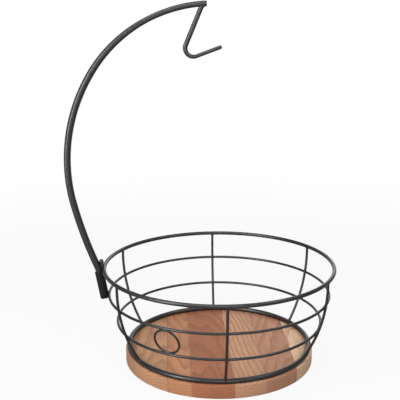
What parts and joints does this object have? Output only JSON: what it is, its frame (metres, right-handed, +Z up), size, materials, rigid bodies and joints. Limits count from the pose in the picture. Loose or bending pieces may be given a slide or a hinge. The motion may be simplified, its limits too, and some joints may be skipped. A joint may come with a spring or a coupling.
{
  "type": "fruit bowl with banana hanger",
  "caption": "Round black wire fruit basket on a thick wooden base, with a plugged-in curved arm whose small hook holds bananas over the bowl.",
  "frame": {"origin": "middle of the wooden base's underside, on the table", "axes": "+Z up, the arm stands at the -X side and reaches over the bowl, so the hanger lies in the plane Y = 0 and +Y is away from the picture's viewer"},
  "size_m": [0.3029, 0.2644, 0.4039],
  "materials": {
    "wood": "light hardwood with a thin clear satin oil",
    "black_metal": "satin black powder coat",
    "screw_steel": "zinc-plated"
  },
  "bodies": {
    "root": {"wood_base": "wood", "bottom_ring": "black_metal", "lower_hoop": "black_metal", "upper_hoop": "black_metal", "rim_ring": "black_metal", "rib_front": "black_metal", "rib_front_right": "black_metal", "rib_back_right": "black_metal", "rib_back": "black_metal", "rib_back_left": "black_metal", "rib_front_left": "black_metal", "accent_ring": "black_metal", "arm_socket": "black_metal", "arm_rest": "black_metal", "hanger_arm": "black_metal", "banana_hook": "black_metal", "base_screws": "screw_steel"}
  },
  "joints": []
}
